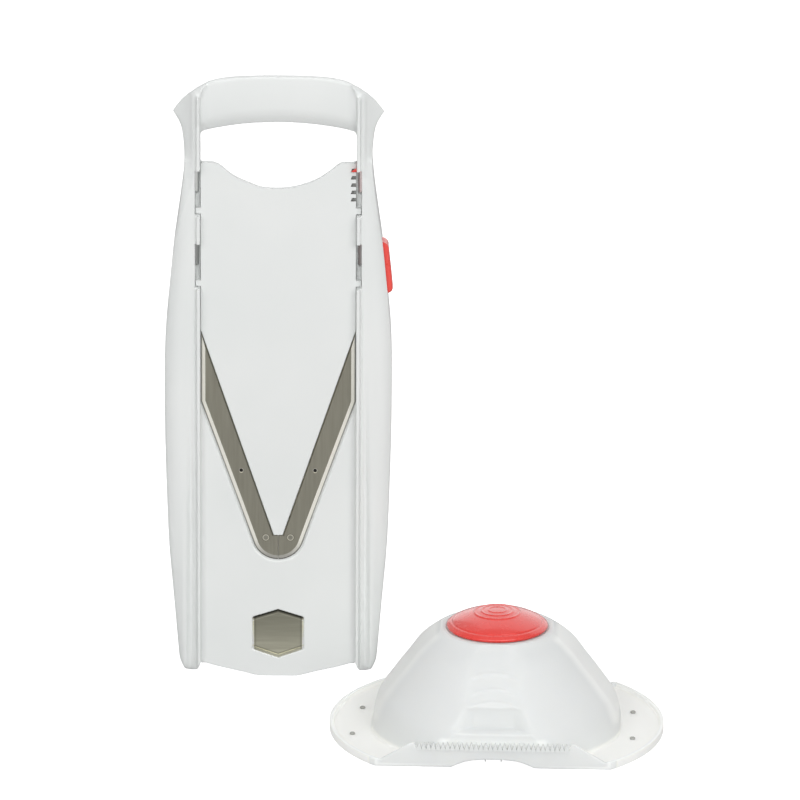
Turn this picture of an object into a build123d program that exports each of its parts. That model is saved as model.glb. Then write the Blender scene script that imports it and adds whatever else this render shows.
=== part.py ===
from build123d import *
import os
from math import cos, sin, pi, radians, hypot

os.makedirs("parts", exist_ok=True)

# ---------------------------------------------------------------- dimensions (mm)
# The slicer stands on its lower end, facing -Y.  X is across, Z is up.
INNER = 39.75          # half width between the rails
FRONT = -5.0           # front of the rails
BACK = 16.0            # back of the rails
RIDGE = -7.0           # front of the guide ridges
BAR_BACK = 11.0        # back of the grip bar
PLATE_F = -1.5         # front face of insert, blades and tray
PLATE_B = 1.5          # back face of insert and tray
SEAT = -0.5            # floor of the blade seat
BAR_TOP = 322.2        # top of the grip bar
OUTER = [(51.0, 13.0), (53.9, 48.0), (55.7, 69.0), (56.9, 96.0), (57.8, 127.0),
         (58.1, 155.0), (57.2, 190.0), (55.6, 207.0), (52.9, 234.0), (50.1, 254.0),
         (48.3, 269.0), (47.8, 281.0), (48.4, 289.0), (49.8, 295.6), (52.0, 299.6), (53.3, 301.5),
         (53.8, 302.7), (53.3, 304.0), (50.9, 307.1), (46.9, 311.3), (41.4, 315.9), (35.5, 319.0),
         (20.0, 321.7), (0.0, BAR_TOP)]
CREST = [(56.0, 300.2), (53.3, 304.2), (50.9, 307.3), (46.9, 311.5), (41.4, 316.1), (35.5, 319.2), (20.0, 321.9), (0.0, BAR_TOP + 0.2)]
CREST_DROP = 5.5       # fall of the grip's top towards the back

V_TOP = (39.6, 186.5)  # upper end of a cutting edge
V_TIP = (2.4, 76.3)    # lower end of a cutting edge
V_LEN = hypot(V_TOP[0] - V_TIP[0], V_TOP[1] - V_TIP[1])
V_DX = (V_TOP[0] - V_TIP[0]) / V_LEN
V_DZ = (V_TOP[1] - V_TIP[1]) / V_LEN
EDGE_GAP = 0.35        # gap between insert and cutting edges

STEP = 3.875           # rise of the insert per notch
STEPS = 4
RISE = STEP * STEPS    # full rise of the insert
RAMP = 17.0            # slope of the insert's path, degrees
SINK = RISE * sin(radians(RAMP)) / cos(radians(RAMP))
LUG_Z = (210.4, 249.0) # lower edge of the side lugs
LUG_H = 3.0
SLOT_H = 23.6          # height of the lug slots
LUG_X = 42.1
SLOT_X = 42.4

PIVOT = (46.2, 244.0)  # axis of the red lever (X, Z), along Y
PIN_R = 1.5

HOLD_X, HOLD_Y, HOLD_TURN = 112.0, -77.9, -2.2   # food holder: place and turn
WING_R = 85.0          # round edge of the wings
FLAT = 60.7            # half distance over the straight walls
SHAFT_R = 9.0
BORE_R = 9.05


def outer_x(z):
    for (xa, za), (xb, zb) in zip(OUTER, OUTER[1:]):
        if za <= z <= zb:
            return xa + (xb - xa) * (z - za) / (zb - za)
    return OUTER[0][0]


def mirror_pts(pts):
    return [(-x, z) for x, z in pts]


def v_point(z, off):
    # point at height z on the line lying off mm outside a cutting edge
    return (V_TIP[0] + (z - V_TIP[1]) * V_DX / V_DZ + off / V_DZ, z)


def superellipse(a, b, n, count=32):
    pts = []
    for i in range(count):
        t = 2 * pi * i / count
        c, s = cos(t), sin(t)
        pts.append((a * abs(c) ** (2 / n) * (1 if c >= 0 else -1),
                    b * abs(s) ** (2 / n) * (1 if s >= 0 else -1)))
    return pts


def ramp_slot(z0):
    # pocket for a side lug: open to the front, its floor rising backwards
    y0 = PLATE_B + 0.35
    return [(-9.0, z0 - 0.4), (y0, z0 - 0.4), (y0, z0), (y0 + SINK, z0 + RISE),
            (y0 + SINK, z0 + SLOT_H), (-9.0, z0 + SLOT_H)]


BLADE = [v_point(V_TOP[1] - 0.6, 0.0), (39.45, 185.9), (39.45, 148.6), (20.6, 95.7), (12.55, 72.6)]
TIP_C, TIP_R = (0.0, 76.5), 13.15
CAVITY = [(44.6, 16.0), (47.4, 16.0), (49.8, 48.0), (51.6, 70.0), (53.0, 98.0), (54.2, 129.0),
          (54.7, 156.0), (53.9, 190.0), (53.1, 198.0), (44.6, 198.0)]
CHANNEL_Z = [203.5, 220.0, 237.0, 250.0, 262.0, 275.2]
CHANNEL = [(41.2, 203.5)] + [(outer_x(z) - 1.6, z) for z in CHANNEL_Z] + [(41.2, 275.2)]
COVER = [(43.4, 14.6), (48.6, 14.6), (51.0, 48.0), (52.8, 70.0), (54.2, 98.0), (55.4, 129.0),
         (55.9, 156.0), (55.1, 190.0), (53.5, 208.0), (51.6, 237.0), (48.9, 256.0), (47.3, 270.0),
         (46.8, 276.4), (40.6, 276.4), (40.6, 202.3), (43.4, 202.3)]
COVER_SCREWS = [(46.5, 30.0), (49.4, 140.0), (48.2, 200.75)]
HANDLE_SCREWS = [(-28.0, 305.0), (28.0, 305.0)]
BADGE = [(0.0, 36.2), (13.2, 32.0), (13.2, 14.4), (0.0, 9.7), (-13.2, 14.4), (-13.2, 32.0)]
RIVETS = [(-6.3, 75.2), (6.3, 75.2)]
LOCATORS = [(-18.9, 111.4), (18.9, 111.4)]

# ---------------------------------------------------------------- frame
with BuildPart() as frame:
    # rails and grip bar, one outline
    with BuildSketch(Plane.XZ.offset(-BACK)):
        with BuildLine():
            Spline(*OUTER, *mirror_pts(OUTER[-2::-1]), tangents=((0.083, 1), (0.083, -1)))
            Spline((-51.0, 13.0), (-50.0, 7.4), (-48.0, 3.3), (-44.8, 0.0), tangents=((0.083, -1), (1, -0.6)))
            Line((-44.8, 0.0), (-43.0, 0.0))
            ThreePointArc((-43.0, 0.0), (-41.0, 2.1), (-INNER, 6.2))
            Line((-INNER, 6.2), (-INNER, 290.5))
            ThreePointArc((-INNER, 290.5), (-39.1, 292.1), (-37.6, 292.6))
            ThreePointArc((-37.6, 292.6), (0.0, 297.2), (37.6, 292.6))
            ThreePointArc((37.6, 292.6), (39.1, 292.1), (INNER, 290.5))
            Line((INNER, 290.5), (INNER, 6.2))
            ThreePointArc((INNER, 6.2), (41.0, 2.1), (43.0, 0.0))
            Line((43.0, 0.0), (44.8, 0.0))
            Spline((51.0, 13.0), (50.0, 7.4), (48.0, 3.3), (44.8, 0.0), tangents=((-0.083, -1), (-1, -0.6)))
        make_face()
    extrude(amount=BACK - FRONT)
    # softened front edge of the outside
    front_edges = frame.faces().sort_by(Axis.Y)[0].edges()
    fillet(front_edges.sort_by(SortBy.LENGTH)[-1], 1.2)
    # posts and ears fall away to the sides, ears thin out to their tips
    for s in (-1, 1):
        with BuildSketch(Plane.XY.offset(240.0)):
            Polygon((s * 52.5, -5.2), (s * 62.0, -1.2), (s * 62.0, -9.0), (s * 52.5, -9.0), align=None)
        with BuildSketch(Plane.XY.offset(268.0)):
            Polygon((s * 42.3, -5.2), (s * 62.0, 3.07), (s * 62.0, -9.0), (s * 42.3, -9.0), align=None)
        loft(mode=Mode.SUBTRACT)
        with BuildSketch(Plane.XY.offset(268.0)):
            Polygon((s * 42.3, -5.2), (s * 62.0, 3.07), (s * 62.0, -9.0), (s * 42.3, -9.0), align=None)
        extrude(amount=10, mode=Mode.SUBTRACT)
        with BuildSketch(Plane.XY.offset(278.0)):
            Polygon((s * 42.3, -5.2), (s * 62.0, 3.07), (s * 62.0, -9.0), (s * 42.3, -9.0), align=None)
        with BuildSketch(Plane.XY.offset(292.0)):
            Polygon((s * 42.3, -5.2), (s * 62.0, 6.6), (s * 62.0, -9.0), (s * 42.3, -9.0), align=None)
        loft(mode=Mode.SUBTRACT)
        with BuildSketch(Plane.XY.offset(292.0)):
            Polygon((s * 42.3, -5.2), (s * 62.0, 6.6), (s * 62.0, -9.0), (s * 42.3, -9.0), align=None)
        extrude(amount=40, mode=Mode.SUBTRACT)
        with BuildSketch(Plane.XY.offset(284.0)):
            Polygon((s * 52.0, 11.2), (s * 64.0, 0.4), (s * 64.0, 19.0), (s * 52.0, 19.0), align=None)
        with BuildSketch(Plane.XY.offset(296.0)):
            Polygon((s * 46.8, 11.2), (s * 58.8, 0.4), (s * 58.8, 19.0), (s * 46.8, 19.0), align=None)
        loft(mode=Mode.SUBTRACT)
        with BuildSketch(Plane.XY.offset(296.0)):
            Polygon((s * 46.8, 11.2), (s * 58.8, 0.4), (s * 58.8, 19.0), (s * 46.8, 19.0), align=None)
        extrude(amount=40, mode=Mode.SUBTRACT)
    # face of the grip, set back between the posts
    with BuildSketch(Plane.XZ.offset(3.6)):
        Polygon((-INNER, 285.0), (-INNER, 311.0), (-38.6, 315.0), (-36.4, 318.4), (-34.6, 330.0),
                (34.6, 330.0), (36.4, 318.4), (38.6, 315.0), (INNER, 311.0), (INNER, 285.0), align=None)
    extrude(amount=6.0, mode=Mode.SUBTRACT)
    # back of the grip bar
    with BuildSketch(Plane.YZ.offset(-70)):
        Polygon((BAR_BACK, 292), (BACK + 1, 276.4), (BACK + 1, 330), (BAR_BACK, 330), align=None)
    extrude(amount=140, mode=Mode.SUBTRACT)
    # top of the grip, falling to the back
    for y, drop in ((-1.5, 0.0), (12.0, CREST_DROP)):
        crest = [(x, z - drop) for x, z in mirror_pts(CREST) + CREST[-2::-1]]
        with BuildSketch(Plane.XZ.offset(-y)):
            with BuildLine():
                Spline(*crest)
                Polyline(crest[-1], (60.0, 340.0), (-60.0, 340.0), crest[0])
            make_face()
    loft(mode=Mode.SUBTRACT)
    # sloped lower ends of the rails
    with BuildSketch(Plane.YZ.offset(-70)):
        Polygon((-9, 4.6), (-9, -2), (9, -2), (8, 0), align=None)
    extrude(amount=140, mode=Mode.SUBTRACT)
    # guide ridges
    for s in (-1, 1):
        with BuildSketch(Plane.XZ.offset(-FRONT - 0.5)):
            with Locations((s * (INNER + 0.925), 158.75)):
                RectangleRounded(1.85, 307.5, 0.85)
        extrude(amount=FRONT + 0.5 - RIDGE)
    # run-off tray with its tongue
    with BuildSketch(Plane.XZ.offset(-PLATE_B)):
        with BuildLine():
            Polyline((41.0, 7.2), (41.0, 166.0), v_point(166.0, 6.0), v_point(87.0, 6.0), v_point(87.0, 1.2),
                     v_point(75.6, 1.2), mirror_pts([v_point(75.6, 1.2)])[0], mirror_pts([v_point(87.0, 1.2)])[0],
                     mirror_pts([v_point(87.0, 6.0)])[0], mirror_pts([v_point(166.0, 6.0)])[0],
                     (-41.0, 166.0), (-41.0, 7.2), (-37.0, 6.6))
            Spline((-37.0, 6.6), (-34.6, 6.0), (-22.2, 2.9), (-13.6, 0.7), (-10.0, 0.0), tangents=((1, -0.12), (1, 0)))
            Line((-10.0, 0.0), (10.0, 0.0))
            Spline((10.0, 0.0), (13.6, 0.7), (22.2, 2.9), (34.6, 6.0), (37.0, 6.6), tangents=((1, 0), (1, 0.12)))
            Line((37.0, 6.6), (41.0, 7.2))
        make_face()
    extrude(amount=PLATE_B - PLATE_F)
    # flanges behind the edges of the insert
    with BuildSketch(Plane.XZ.offset(-9.0)):
        with Locations((-39.2, 212.0), (39.2, 212.0)):
            Rectangle(1.9, 124.0)
    extrude(amount=2.0)
    # hollow fillets from tray to ridges
    for s in (-1, 1):
        with BuildSketch(Plane.XY.offset(7.4)):
            with BuildLine():
                Polyline((s * 36.75, PLATE_F), (s * 36.75, PLATE_F + 0.6), (s * 40.2, PLATE_F + 0.6), (s * 40.2, -4.7), (s * 39.9, -4.7))
                ThreePointArc((s * 39.9, -4.7), (s * 38.98, -2.43), (s * 36.75, PLATE_F))
            make_face()
        extrude(amount=140)
    # stiffening ribs behind the tray
    with BuildSketch(Plane.XZ.offset(-6.0)):
        for s in (-1, 1):
            a, b = v_point(150.0, 9.5), v_point(62.0, 9.5)
            c, d = v_point(62.0, 12.0), v_point(150.0, 12.0)
            Polygon((s * a[0], a[1]), (s * b[0], b[1]), (s * c[0], c[1]), (s * d[0], d[1]), align=None)
        with Locations((0, 56.0)):
            Rectangle(80.5, 2.2)
        with Locations((0, 8.6)):
            Rectangle(80.5, 2.0)
    extrude(amount=6.0 - PLATE_B)
    # soft valley in the lower half of each rail
    for s in (-1, 1):
        valley = Plane(origin=(s * 44.4, -8.05, 180.0), x_dir=(1, 0, 0), z_dir=(0, 1.75 / 180.0, -1))
        with BuildSketch(valley):
            Circle(3.0)
        extrude(amount=190, mode=Mode.SUBTRACT)
    # hollow rails, open to the back
    for s in (-1, 1):
        with BuildSketch(Plane.XZ.offset(-BACK)):
            Polygon(*[(s * x, z) for x, z in CAVITY], align=None)
        extrude(amount=BACK + 2.0, mode=Mode.SUBTRACT)
        with BuildSketch(Plane.XZ.offset(-BACK)):
            Polygon(*[(s * x, z) for x, z in CHANNEL], align=None)
        extrude(amount=BACK - 7.5, mode=Mode.SUBTRACT)
        with BuildSketch(Plane.XZ.offset(-BACK)):
            Polygon(*[(s * x, z) for x, z in COVER], align=None)
        extrude(amount=2.0, mode=Mode.SUBTRACT)
        # screw bosses
        with BuildSketch(Plane.XZ.offset(-14.0)):
            with Locations(*[(s * x, z) for x, z in COVER_SCREWS[:2]]):
                Circle(2.6)
        extrude(amount=16.5)
        with BuildSketch(Plane.XZ.offset(-14.0)):
            with Locations(*[(s * x, z) for x, z in COVER_SCREWS]):
                Circle(1.25)
        extrude(amount=9.5, mode=Mode.SUBTRACT)
    # hollow grip bar, open to the back
    with BuildSketch(Plane.XZ.offset(-BAR_BACK)) as bar_pocket:
        with BuildLine():
            ThreePointArc((-40.0, 295.6), (0.0, 299.8), (40.0, 295.6))
            Polyline((40.0, 295.6), (45.0, 299.5), (46.5, 304.0), (42.0, 309.6))
            Spline((42.0, 309.6), (36.0, 312.6), (20.0, 314.6), (0.0, 315.2), (-20.0, 314.6), (-36.0, 312.6), (-42.0, 309.6))
            Polyline((-42.0, 309.6), (-46.5, 304.0), (-45.0, 299.5), (-40.0, 295.6))
        make_face()
    extrude(amount=2.0, mode=Mode.SUBTRACT)
    with BuildSketch(Plane.XZ.offset(-9.0)):
        with BuildLine():
            ThreePointArc((-40.0, 297.1), (0.0, 301.2), (40.0, 297.1))
            Polyline((40.0, 297.1), (43.6, 300.2), (44.8, 304.0), (41.2, 308.3))
            Spline((41.2, 308.3), (36.0, 311.0), (20.0, 313.1), (0.0, 313.7), (-20.0, 313.1), (-36.0, 311.0), (-41.2, 308.3))
            Polyline((-41.2, 308.3), (-44.8, 304.0), (-43.6, 300.2), (-40.0, 297.1))
        make_face()
    extrude(amount=11.0, mode=Mode.SUBTRACT)
    with BuildSketch(Plane.XZ.offset(-9.0)):
        with Locations(*HANDLE_SCREWS):
            Circle(3.0)
    extrude(amount=11.5)
    with BuildSketch(Plane.XZ.offset(-9.0)):
        with Locations(*HANDLE_SCREWS):
            Circle(1.25)
    extrude(amount=8.0, mode=Mode.SUBTRACT)
    # ramp slots for the lugs of the insert
    for z0 in LUG_Z:
        with BuildSketch(Plane.YZ.offset(-SLOT_X)):
            Polygon(*ramp_slot(z0), align=None)
        extrude(amount=SLOT_X - INNER + 0.5, mode=Mode.SUBTRACT)
        with BuildSketch(Plane.YZ.offset(INNER - 0.5)):
            Polygon(*ramp_slot(z0), align=None)
        extrude(amount=SLOT_X - INNER + 0.5, mode=Mode.SUBTRACT)
        # beside the ramp the slot is open to the hollow of the rail
        with BuildSketch(Plane.XZ.offset(-8.0)):
            for s in (-1, 1):
                Polygon((s * 40.6, z0 + 9.0), (s * SLOT_X, z0 + 9.0), (s * SLOT_X, z0 + SLOT_H), (s * 40.6, z0 + SLOT_H), align=None)
        extrude(amount=9.0, mode=Mode.SUBTRACT)
    # window of the red pad, way of the pawl, hole of the lever pin
    with BuildSketch(Plane.XZ.offset(-9.8)):
        Polygon((44.9, 204.3), (62.0, 204.3), (62.0, 234.4), (44.9, 234.4), align=None)
    extrude(amount=9.6, mode=Mode.SUBTRACT)
    with BuildSketch(Plane.XZ.offset(-8.0)):
        Polygon((39.0, 270.9), (46.4, 270.9), (46.4, 275.2), (39.0, 275.2), align=None)
    extrude(amount=10.6, mode=Mode.SUBTRACT)
    with BuildSketch(Plane.XZ.offset(1.4)):
        Polygon((39.0, 270.9), (45.5, 270.9), (45.5, 275.2), (39.0, 275.2), align=None)
    extrude(amount=1.7, mode=Mode.SUBTRACT)
    with BuildSketch(Plane.XZ.offset(-8.0)):
        with Locations(PIVOT):
            Circle(PIN_R)
    extrude(amount=5.0, mode=Mode.SUBTRACT)
    # seat of the blades
    with BuildSketch(Plane.XZ.offset(-SEAT)):
        with BuildLine():
            Polyline((0, 120.0), (INNER - 0.02, 186.5), (INNER - 0.02, 148.5), (20.9, 95.6), (12.9, 72.6))
            ThreePointArc((12.9, 72.6), (0.0, TIP_C[1] - TIP_R - 0.3), (-12.9, 72.6))
            Polyline((-12.9, 72.6), (-20.9, 95.6), (-INNER + 0.02, 148.5), (-INNER + 0.02, 186.5), (0, 120.0))
        make_face()
    extrude(amount=4.0, mode=Mode.SUBTRACT)
    # seat of the badge
    with BuildSketch(Plane.XZ.offset(0.2)):
        Polygon(*BADGE, align=None)
    extrude(amount=4.0, mode=Mode.SUBTRACT)
    # holes of the blade fastenings
    with BuildSketch(Plane.XZ.offset(-8.0)):
        with Locations(*RIVETS):
            Circle(1.6)
        with Locations(*LOCATORS):
            Circle(1.3)
    extrude(amount=10.0, mode=Mode.SUBTRACT)
frame.part.label = "frame"
export_step(frame.part, "parts/frame.step")

# ---------------------------------------------------------------- covers and their screws
with BuildPart() as handle_back_cover:
    with BuildSketch(Plane.XZ.offset(-BAR_BACK)):
        with BuildLine():
            ThreePointArc((-39.9, 295.8), (0.0, 300.0), (39.9, 295.8))
            Polyline((39.9, 295.8), (44.8, 299.6), (46.2, 304.0), (41.8, 309.4))
            Spline((41.8, 309.4), (36.0, 312.35), (20.0, 314.4), (0.0, 315.0), (-20.0, 314.4), (-36.0, 312.35), (-41.8, 309.4))
            Polyline((-41.8, 309.4), (-46.2, 304.0), (-44.8, 299.6), (-39.9, 295.8))
        make_face()
        with Locations(*HANDLE_SCREWS):
            Circle(1.5, mode=Mode.SUBTRACT)
    extrude(amount=2.0)
    with BuildSketch(Plane.XZ.offset(-BAR_BACK)):
        with Locations(*HANDLE_SCREWS):
            Circle(2.7)
    extrude(amount=1.2, mode=Mode.SUBTRACT)
handle_back_cover.part.label = "handle_back_cover"
export_step(handle_back_cover.part, "parts/handle_back_cover.step")

with BuildPart() as handle_screws:
    with BuildSketch(Plane.XZ.offset(-BAR_BACK + 0.1)):
        with Locations(*HANDLE_SCREWS):
            Circle(2.5)
    extrude(amount=1.1)
    with BuildSketch(Plane.XZ.offset(-BAR_BACK + 1.2)):
        with Locations(*HANDLE_SCREWS):
            Circle(1.2)
    extrude(amount=8.0)
    with BuildSketch(Plane.XZ.offset(-BAR_BACK + 0.1)):
        with Locations(*HANDLE_SCREWS):
            Rectangle(3.0, 0.6)
            Rectangle(0.6, 3.0)
    extrude(amount=0.6, mode=Mode.SUBTRACT)
handle_screws.part.label = "handle_screws"
export_step(handle_screws.part, "parts/handle_screws.step")

with BuildPart() as left_rail_cover:
    with BuildSketch(Plane.XZ.offset(-BACK)):
        Polygon(*[(-x, z) for x, z in COVER], align=None)
        offset(amount=-0.12, kind=Kind.INTERSECTION, mode=Mode.REPLACE)
        with Locations(*[(-x, z) for x, z in COVER_SCREWS]):
            Circle(1.5, mode=Mode.SUBTRACT)
    extrude(amount=2.0)
    with BuildSketch(Plane.XZ.offset(-BACK)):
        with Locations(*[(-x, z) for x, z in COVER_SCREWS]):
            Circle(2.3)
    extrude(amount=1.2, mode=Mode.SUBTRACT)
left_rail_cover.part.label = "left_rail_cover"
export_step(left_rail_cover.part, "parts/left_rail_cover.step")

with BuildPart() as right_rail_cover:
    with BuildSketch(Plane.XZ.offset(-BACK)):
        Polygon(*COVER, align=None)
        offset(amount=-0.12, kind=Kind.INTERSECTION, mode=Mode.REPLACE)
        with Locations(*COVER_SCREWS):
            Circle(1.5, mode=Mode.SUBTRACT)
    extrude(amount=2.0)
    with BuildSketch(Plane.XZ.offset(-BACK)):
        with Locations(*COVER_SCREWS):
            Circle(2.3)
    extrude(amount=1.2, mode=Mode.SUBTRACT)
right_rail_cover.part.label = "right_rail_cover"
export_step(right_rail_cover.part, "parts/right_rail_cover.step")

with BuildPart() as rail_cover_screws:
    both_sides = COVER_SCREWS + mirror_pts(COVER_SCREWS)
    with BuildSketch(Plane.XZ.offset(-BACK + 0.1)):
        with Locations(*both_sides):
            Circle(2.15)
    extrude(amount=1.1)
    with BuildSketch(Plane.XZ.offset(-BACK + 1.2)):
        with Locations(*both_sides):
            Circle(1.2)
    extrude(amount=9.5)
    with BuildSketch(Plane.XZ.offset(-BACK + 0.1)):
        with Locations(*both_sides):
            Rectangle(2.6, 0.55)
            Rectangle(0.55, 2.6)
    extrude(amount=0.6, mode=Mode.SUBTRACT)
rail_cover_screws.part.label = "rail_cover_screws"
export_step(rail_cover_screws.part, "parts/rail_cover_screws.step")

# ---------------------------------------------------------------- blades
with BuildPart() as right_blade:
    with BuildSketch(Plane.XZ.offset(-SEAT)):
        with BuildLine():
            Polyline((0.12, V_TIP[1]), V_TIP, v_point(185.9, 0.0), (39.45, 185.9), (39.45, 148.6), (20.6, 95.7), (12.55, 72.6))
            ThreePointArc((12.55, 72.6), (9.3, TIP_C[1] - 9.3), (0.12, TIP_C[1] - TIP_R))
            Line((0.12, TIP_C[1] - TIP_R), (0.12, V_TIP[1]))
        make_face()
    extrude(amount=SEAT - PLATE_F)
    top_face = right_blade.faces().sort_by(Axis.Y)[0]
    rim_at = [(39.45, 167.2), (30.0, 122.1), (16.6, 84.2), (9.3, 67.2)]
    rim = top_face.edges().filter_by(lambda e: any(hypot((e @ 0.5).X - x, (e @ 0.5).Z - z) < 1.5 for x, z in rim_at))
    chamfer(rim, length=2.2, length2=0.5, reference=top_face)
    # ground cutting edge
    with BuildSketch(Plane(origin=(V_TIP[0], PLATE_F, V_TIP[1]), x_dir=(V_DZ, 0, -V_DX), z_dir=(V_DX, 0, V_DZ))):
        Polygon((0.8, -0.107), (-0.2, 0.964), (-0.2, -0.5), (0.8, -0.5), align=None)
    extrude(amount=V_LEN + 4.0, mode=Mode.SUBTRACT)
    with BuildSketch(Plane.XZ.offset(-SEAT)):
        with Locations(RIVETS[1]):
            Circle(2.0)
        with Locations(LOCATORS[1]):
            Circle(1.3)
    extrude(amount=2.0, mode=Mode.SUBTRACT)
right_blade.part.label = "right_blade"
export_step(right_blade.part, "parts/right_blade.step")

with BuildPart() as left_blade:
    mirror(right_blade.part, about=Plane.YZ)
left_blade.part.label = "left_blade"
export_step(left_blade.part, "parts/left_blade.step")

with BuildPart() as blade_rivets:
    with BuildSketch(Plane.XZ.offset(-PLATE_F)):
        with Locations(*RIVETS):
            Circle(2.0)
    extrude(amount=PLATE_F - SEAT)
    with BuildSketch(Plane.XZ.offset(-SEAT)):
        with Locations(*RIVETS):
            Circle(1.6)
    extrude(amount=-(PLATE_B - SEAT))
    with BuildSketch(Plane.XZ.offset(-PLATE_B)):
        with Locations(*RIVETS):
            Circle(2.4)
    extrude(amount=-0.8)
blade_rivets.part.label = "blade_rivets"
export_step(blade_rivets.part, "parts/blade_rivets.step")

with BuildPart() as blade_locating_pins:
    with BuildSketch(Plane.XZ.offset(-PLATE_B)):
        with Locations(*LOCATORS):
            Circle(1.3)
    extrude(amount=PLATE_B - PLATE_F - 0.5)
    with BuildSketch(Plane.XZ.offset(-PLATE_B)):
        with Locations(*LOCATORS):
            Circle(2.0)
    extrude(amount=-0.8)
blade_locating_pins.part.label = "blade_locating_pins"
export_step(blade_locating_pins.part, "parts/blade_locating_pins.step")

# ---------------------------------------------------------------- badge plate
with BuildPart() as badge_plate:
    with BuildSketch(Plane.XZ.offset(0.2)):
        Polygon(*BADGE, align=None)
        offset(amount=-0.12, kind=Kind.INTERSECTION, mode=Mode.REPLACE)
    extrude(amount=0.8)
    with BuildSketch(Plane.XZ.offset(1.0)):
        Polygon(*BADGE, align=None)
        offset(amount=-1.5, kind=Kind.INTERSECTION, mode=Mode.REPLACE)
    extrude(amount=-0.45, mode=Mode.SUBTRACT)
badge_plate.part.label = "badge_plate"
export_step(badge_plate.part, "parts/badge_plate.step")

# ---------------------------------------------------------------- sliding insert
with BuildPart() as slicing_insert:
    e = EDGE_GAP / V_DZ
    with BuildSketch(Plane.XZ.offset(-PLATE_B)):
        with BuildLine():
            Polyline((34.4, 276.1), (38.6, 276.1), (39.4, 275.3), (39.4, 186.95), (V_TIP[0] - e + 0.12, V_TIP[1] + EDGE_GAP),
                     (-(V_TIP[0] - e + 0.12), V_TIP[1] + EDGE_GAP), (-39.4, 186.95), (-39.4, 275.3), (-38.6, 276.1), (-34.4, 276.1))
            Spline((-34.4, 276.1), (-29.9, 274.6), (-23.6, 269.5), (-13.0, 264.4), (0.0, 262.2), tangents=((1, 0), (1, 0)))
            Spline((0.0, 262.2), (13.0, 264.4), (23.6, 269.5), (29.9, 274.6), (34.4, 276.1), tangents=((1, 0), (1, 0)))
        make_face()
    extrude(amount=PLATE_B - PLATE_F)
    # lip that reaches behind the cutting edges
    with BuildSketch(Plane.XZ.offset(-PLATE_B)):
        lip_top, lip_tip = v_point(185.5, 0.45), v_point(V_TIP[1] - 0.2, 0.45)
        Polygon((lip_top[0] - 6, lip_top[1]), lip_top, lip_tip, (-lip_tip[0], lip_tip[1]), (-lip_top[0], lip_top[1]), (6 - lip_top[0], lip_top[1]), align=None)
    extrude(amount=PLATE_B - 0.2 - SEAT - 0.5)
    # three small gate marks
    with BuildSketch(Plane.XZ.offset(-PLATE_F)):
        with Locations((-1.9, 203.2), (2.9, 203.2), (0.3, 200.0)):
            Circle(0.45)
    extrude(amount=0.18)
    # notched right edge
    with BuildSketch(Plane.XZ.offset(-0.8)):
        for i in range(STEPS + 1):
            z = 272.2 - STEP * i
            Polygon((36.7, z - 0.95), (40.5, z - 0.95), (40.5, z + 0.95), (37.4, z + 0.95), align=None)
    extrude(amount=4.0, mode=Mode.SUBTRACT)
    # stiffening ribs behind
    with BuildSketch(Plane.XZ.offset(-5.0)):
        with Locations((-28.0, 210.0), (28.0, 210.0)):
            Rectangle(2.0, 80.0)
        with Locations((0.0, 249.0)):
            Rectangle(58.0, 2.0)
        with Locations((0.0, 171.0)):
            Rectangle(58.0, 2.0)
    extrude(amount=5.0 - PLATE_B)
    # side lugs
    for z0 in LUG_Z:
        with BuildSketch(Plane.XZ.offset(-PLATE_B)):
            with Locations((-(LUG_X + 39.0) / 2, z0 + LUG_H / 2), ((LUG_X + 39.0) / 2, z0 + LUG_H / 2)):
                Rectangle(LUG_X - 39.0, LUG_H)
        extrude(amount=PLATE_B - PLATE_F)
slicing_insert.part.label = "slicing_insert"
export_step(slicing_insert.part, "parts/slicing_insert.step")

# ---------------------------------------------------------------- red lever, its pin and spring
with BuildPart() as release_lever:
    with BuildSketch(Plane.XZ.offset(-12.5)):
        Polygon((41.4, 274.1), (43.0, 274.1), (44.0, 268.5), (45.2, 262.0), (46.2, 256.0), (48.6, 249.0), (49.2, 240.0), (49.6, 236.0),
                (50.8, 224.0), (51.4, 207.2), (47.8, 207.2), (45.6, 230.0), (43.4, 240.0), (43.3, 249.0), (42.9, 262.0),
                (42.5, 268.6), (41.4, 271.6), align=None)
    extrude(amount=4.5)
    with BuildSketch(Plane.XZ.offset(-9.5)):
        with BuildLine():
            Polyline((50.4, 206.4), (55.2, 206.0))
            ThreePointArc((55.2, 206.0), (57.55, 206.9), (58.3, 209.4))
            Spline((58.3, 209.4), (57.2, 220.5), (56.15, 229.9))
            ThreePointArc((56.15, 229.9), (55.0, 232.6), (52.6, 233.5))
            Polyline((52.6, 233.5), (49.5, 233.5), (50.4, 224.0), (50.4, 206.4))
        make_face()
    extrude(amount=9.0)
    pad_edges = release_lever.edges().filter_by(lambda e: e.center().X > 54.0 and e.length > 15 and abs(e.center().Z - 220) < 4)
    fillet(pad_edges, 1.6)
    with BuildSketch(Plane.XZ.offset(-8.5)):
        Polygon((41.4, 271.6), (43.0, 271.6), (43.0, 274.1), (41.4, 274.1), align=None)
    extrude(amount=10.9)
    with BuildSketch(Plane.XZ.offset(1.8)):
        Polygon((37.0, 271.8), (42.2, 271.8), (42.2, 274.1), (40.1, 274.1), align=None)
    extrude(amount=1.15)
    with BuildSketch(Plane.XZ.offset(-13.0)):
        with Locations(PIVOT):
            Circle(PIN_R + 0.05)
    extrude(amount=6.0, mode=Mode.SUBTRACT)
release_lever.part.label = "release_lever"
export_step(release_lever.part, "parts/release_lever.step")

with BuildPart() as lever_pin:
    with BuildSketch(Plane.XZ.offset(-13.7)):
        with Locations(PIVOT):
            Circle(PIN_R)
    extrude(amount=10.7)
lever_pin.part.label = "lever_pin"
export_step(lever_pin.part, "parts/lever_pin.step")

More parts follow.
